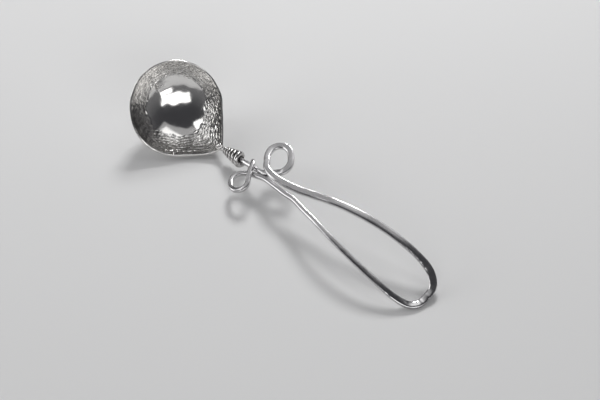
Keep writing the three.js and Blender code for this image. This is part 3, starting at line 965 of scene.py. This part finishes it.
def polish_group():
    """Hand polish: clear metal with duller clouds, darkened further by the piece's own painted shade, painted
    reflections, crease patina and duller patches, and fine scratches
    """
    made = bpy.data.node_groups.get("hand_polish")
    if made:
        return made
    group = bpy.data.node_groups.new("hand_polish", "ShaderNodeTree")
    faces = group.interface
    for name, kind, value in (
        ("Clear", "NodeSocketColor", (0.8, 0.8, 0.8, 1)),
        ("Tarnish And Shade", "NodeSocketColor", (0.3, 0.3, 0.3, 1)),
        ("Shade And Dullness", "NodeSocketFloat", 0.0),
        ("Cloud Scale", "NodeSocketFloat", 60.0),
        ("Cloud Amount", "NodeSocketFloat", 0.3),
        ("Scratch Scale", "NodeSocketFloat", 900.0),
        ("Least Roughness", "NodeSocketFloat", 0.1),
        ("Most Roughness", "NodeSocketFloat", 0.3),
    ):
        faces.new_socket(name=name, in_out="INPUT", socket_type=kind).default_value = value
    for name, kind in (
        ("Colour", "NodeSocketColor"),
        ("Roughness", "NodeSocketFloat"),
        ("Height", "NodeSocketFloat"),
    ):
        faces.new_socket(name=name, in_out="OUTPUT", socket_type=kind)

    link = group.links.new
    taken = new_node(group, "NodeGroupInput", (-900, 0))
    given = new_node(group, "NodeGroupOutput", (700, 0))
    where = new_node(group, "ShaderNodeTexCoord", (-900, -300))
    cloud = new_node(group, "ShaderNodeTexNoise", (-650, 200))
    cloud.inputs["Detail"].default_value = 4
    cloud.inputs["Roughness"].default_value = 0.55
    link(where.outputs["Object"], cloud.inputs["Vector"])
    link(taken.outputs["Cloud Scale"], cloud.inputs["Scale"])
    scratch = new_node(group, "ShaderNodeTexNoise", (-650, -200))
    scratch.inputs["Detail"].default_value = 3
    scratch.inputs["Distortion"].default_value = 0.6
    link(where.outputs["Object"], scratch.inputs["Vector"])
    link(taken.outputs["Scratch Scale"], scratch.inputs["Scale"])

    spread = new_node(group, "ShaderNodeMapRange", (-420, 200))
    spread.inputs["From Min"].default_value = 0.35
    spread.inputs["From Max"].default_value = 0.7
    link(cloud.outputs["Fac"], spread.inputs["Value"])
    amount = new_node(group, "ShaderNodeMath", (-200, 200), operation="MULTIPLY")
    link(spread.outputs["Result"], amount.inputs[0])
    link(taken.outputs["Cloud Amount"], amount.inputs[1])
    # Duller clouds plus the piece's own darkening, which is painted shade, painted reflections, crease patina
    # and duller patches
    dull_and_shade = new_node(group, "ShaderNodeMath", (0, 200), operation="ADD", use_clamp=True)
    link(amount.outputs[0], dull_and_shade.inputs[0])
    link(taken.outputs["Shade And Dullness"], dull_and_shade.inputs[1])
    colour = new_node(group, "ShaderNodeMix", (250, 250), data_type="RGBA")
    link(dull_and_shade.outputs[0], colour.inputs["Factor"])
    link(taken.outputs["Clear"], colour.inputs["A"])
    link(taken.outputs["Tarnish And Shade"], colour.inputs["B"])
    grain = new_node(group, "ShaderNodeMath", (0, -100), operation="MULTIPLY_ADD", use_clamp=True)
    grain.inputs[1].default_value = 0.35
    link(scratch.outputs["Fac"], grain.inputs[0])
    link(dull_and_shade.outputs[0], grain.inputs[2])
    rough = new_node(group, "ShaderNodeMix", (250, -50), data_type="FLOAT")
    link(grain.outputs[0], rough.inputs["Factor"])
    link(taken.outputs["Least Roughness"], rough.inputs["A"])
    link(taken.outputs["Most Roughness"], rough.inputs["B"])
    link(next(socket for socket in colour.outputs if socket.type == "RGBA"), given.inputs["Colour"])
    link(next(socket for socket in rough.outputs if socket.type == "VALUE"), given.inputs["Roughness"])
    link(scratch.outputs["Fac"], given.inputs["Height"])
    return group


def metal(name, settings, shade_and_dullness, clouds, scratches, roughness, relief):
    """A polished metal darkened by the piece's own attribute: painted shade on the wire and solder, crease
    patina and painted reflections in the bowl, duller patches on the rod
    """
    material = bpy.data.materials.new(name)
    material.use_nodes = True
    tree = material.node_tree
    link = tree.links.new
    surface = tree.nodes["Principled BSDF"]
    surface.inputs["Metallic"].default_value = 1
    polish = new_node(tree, "ShaderNodeGroup", (-350, 200), node_tree=polish_group())
    for socket, value in (
        ("Clear", (*settings.colour, 1)),
        ("Tarnish And Shade", (*settings.tarnish_and_shade, 1)),
        ("Cloud Scale", clouds[0]),
        ("Cloud Amount", clouds[1]),
        ("Scratch Scale", scratches),
        ("Least Roughness", roughness[0]),
        ("Most Roughness", roughness[1]),
    ):
        polish.inputs[socket].default_value = value
    # The piece's own darkening: painted shade, painted reflections, crease patina and duller patches
    depth = new_node(tree, "ShaderNodeAttribute", (-800, 200), attribute_name="shade_and_dullness")
    share = new_node(tree, "ShaderNodeMath", (-580, 200), operation="MULTIPLY")
    share.inputs[1].default_value = shade_and_dullness
    link(depth.outputs["Fac"], share.inputs[0])
    link(share.outputs[0], polish.inputs["Shade And Dullness"])
    ridge = new_node(tree, "ShaderNodeBump", (-150, -200))
    ridge.inputs["Strength"].default_value = 1
    ridge.inputs["Distance"].default_value = relief
    link(polish.outputs["Height"], ridge.inputs["Height"])
    link(polish.outputs["Colour"], surface.inputs["Base Color"])
    link(polish.outputs["Roughness"], surface.inputs["Roughness"])
    link(ridge.outputs["Normal"], surface.inputs["Normal"])
    return material


# Stage

def way_to(azimuth, elevation):
    """The way from the aim to a place round the ladle and above the table"""
    level = math.cos(elevation)
    return Vector((math.sin(azimuth) * level, -math.cos(azimuth) * level, math.sin(elevation)))


def look_back(thing, way):
    """Turns a light or a camera so that it looks back along its way to the aim"""
    thing.rotation_euler = (-way).to_track_quat("-Z", "Y").to_euler()


def soft_box(name, azimuth, elevation, distance, wide, tall, power):
    """A large soft light that looks at the ladle from a place round it"""
    way = way_to(math.radians(azimuth), math.radians(elevation))
    bpy.ops.object.light_add(type="AREA", location=AIM + way * distance)
    light = bpy.context.object
    light.name = light.data.name = name
    look_back(light, way)
    light.data.shape = "RECTANGLE"
    light.data.size = wide
    light.data.size_y = tall
    light.data.energy = power


def set_stage(stage):
    """Lays the table, lights the room and sets the camera"""
    scene = bpy.context.scene
    scene.view_settings.view_transform = "Standard"
    bpy.ops.object.select_all(action="DESELECT")
    bpy.ops.mesh.primitive_plane_add(size=TABLE_SIZE, location=(0, 0, 0))
    table = bpy.context.object
    table.name = table.data.name = "table"
    top = bpy.data.materials.new("plain_table")
    top.use_nodes = True
    surface = top.node_tree.nodes["Principled BSDF"]
    surface.inputs["Base Color"].default_value = (*stage.floor_colour, 1)
    surface.inputs["Roughness"].default_value = TABLE_ROUGHNESS
    surface.inputs["Specular IOR Level"].default_value = TABLE_SHINE
    table.data.materials.append(top)

    # A plain room, dim at table height and darker overhead
    room = bpy.data.worlds.new("plain_room")
    scene.world = room
    room.use_nodes = True
    tree = room.node_tree
    where = new_node(tree, "ShaderNodeTexCoord", (-800, 0))
    split = new_node(tree, "ShaderNodeSeparateXYZ", (-600, 0))
    fade = new_node(tree, "ShaderNodeMapRange", (-400, 0), interpolation_type="SMOOTHSTEP")
    fade.inputs["From Min"].default_value = 0
    fade.inputs["From Max"].default_value = DARKEST_AT
    tone = new_node(tree, "ShaderNodeMix", (-200, 0), data_type="RGBA")
    tone.inputs["A"].default_value = (*stage.wall_colour, 1)
    tone.inputs["B"].default_value = (*stage.sky_colour, 1)
    tree.links.new(where.outputs["Generated"], split.inputs["Vector"])
    tree.links.new(split.outputs["Z"], fade.inputs["Value"])
    tree.links.new(fade.outputs["Result"], tone.inputs["Factor"])
    blended = next(socket for socket in tone.outputs if socket.type == "RGBA")
    tree.links.new(blended, tree.nodes["Background"].inputs["Color"])

    for light in LIGHTS:
        soft_box(*light)

    way = way_to(stage.azimuth, stage.elevation)
    bpy.ops.object.camera_add(location=AIM + way * stage.distance)
    camera = bpy.context.object
    camera.name = camera.data.name = "photo_camera"
    look_back(camera, way)
    camera.data.lens = stage.lens
    camera.data.sensor_width = FILM_WIDTH
    scene.camera = camera


# Operators and their panel

class LADLE_OT_bowl(Operator):
    """Raise the bowl from a sheet, hammer it and lay it on the table"""

    bl_idname = "ladle.bowl"
    bl_label = "Hammered Bowl"
    bl_options = {"REGISTER", "UNDO"}

    def execute(self, context):
        bowl = context.scene.ladle.bowl
        piece = raise_bowl(bowl)
        lay_down(piece, bowl_place(bowl))
        press_flat(piece)
        polished = metal("hammered_metal", bowl, **HAMMERED_FINISH)
        finish_piece(piece, "bowl", polished, SHARP_EDGE)
        return {"FINISHED"}


class LADLE_OT_handle(Operator):
    """Forge the handle's rod and bend its curls and loop"""

    bl_idname = "ladle.handle"
    bl_label = "Forged Rod"
    bl_options = {"REGISTER", "UNDO"}

    def execute(self, context):
        ladle = context.scene.ladle
        piece = forge_rod(ladle.bowl, ladle.handle)
        polished = metal("forged_metal", ladle.handle, **FORGED_FINISH)
        finish_piece(piece, "handle_rod", polished, SHARP_EDGE)
        return {"FINISHED"}


class LADLE_OT_binding(Operator):
    """Wind the tapering wire round the neck"""

    bl_idname = "ladle.binding"
    bl_label = "Wound Wire"
    bl_options = {"REGISTER", "UNDO"}

    def execute(self, context):
        ladle = context.scene.ladle
        piece = wind_wire(ladle.bowl, ladle.handle, ladle.binding)
        polished = metal("wire_metal", ladle.binding, **WIRE_FINISH)
        finish_piece(piece, "binding_coil", polished, SHARP_EDGE)
        return {"FINISHED"}


class LADLE_OT_solder(Operator):
    """Run the solder round the shank's end in the tail"""

    bl_idname = "ladle.solder"
    bl_label = "Solder Lump"
    bl_options = {"REGISTER", "UNDO"}

    def execute(self, context):
        ladle = context.scene.ladle
        piece = run_solder(ladle.bowl, ladle.handle, ladle.solder)
        polished = metal("solder_metal", ladle.solder, **SOLDER_FINISH)
        finish_piece(piece, "tail_solder", polished, SOLDER_SHARP_EDGE)
        return {"FINISHED"}


class LADLE_OT_stage(Operator):
    """Set the table, the light and the camera"""

    bl_idname = "ladle.stage"
    bl_label = "Stage"
    bl_options = {"REGISTER", "UNDO"}

    def execute(self, context):
        set_stage(context.scene.ladle.stage)
        return {"FINISHED"}


class LADLE_PT_sidebar(Panel):
    """The ladle's pieces and settings"""

    bl_idname = "LADLE_PT_sidebar"
    bl_label = "Gravy Ladle"
    bl_space_type = "VIEW_3D"
    bl_region_type = "UI"
    bl_category = "Ladle"

    def draw(self, context):
        ladle = context.scene.ladle
        for operator, settings in (
            (LADLE_OT_bowl, ladle.bowl),
            (LADLE_OT_handle, ladle.handle),
            (LADLE_OT_binding, ladle.binding),
            (LADLE_OT_solder, ladle.solder),
            (LADLE_OT_stage, ladle.stage),
        ):
            group = self.layout.box()
            group.operator(operator.bl_idname)
            for name in settings.bl_rna.properties.keys():
                if name not in ("rna_type", "name"):
                    group.prop(settings, name)


CLASSES = (
    BowlSettings,
    HandleSettings,
    BindingSettings,
    SolderSettings,
    StageSettings,
    LadleSettings,
    LADLE_OT_bowl,
    LADLE_OT_handle,
    LADLE_OT_binding,
    LADLE_OT_solder,
    LADLE_OT_stage,
    LADLE_PT_sidebar,
)


def register():
    for kind in CLASSES:
        bpy.utils.register_class(kind)
    bpy.types.Scene.ladle = PointerProperty(type=LadleSettings, name="Ladle", description="The gravy ladle")


def unregister():
    del bpy.types.Scene.ladle
    for kind in reversed(CLASSES):
        bpy.utils.unregister_class(kind)


def main():
    register()
    bpy.ops.ladle.bowl()
    bpy.ops.ladle.handle()
    bpy.ops.ladle.binding()
    bpy.ops.ladle.solder()
    bpy.ops.ladle.stage()


if __name__ == "__main__":
    main()
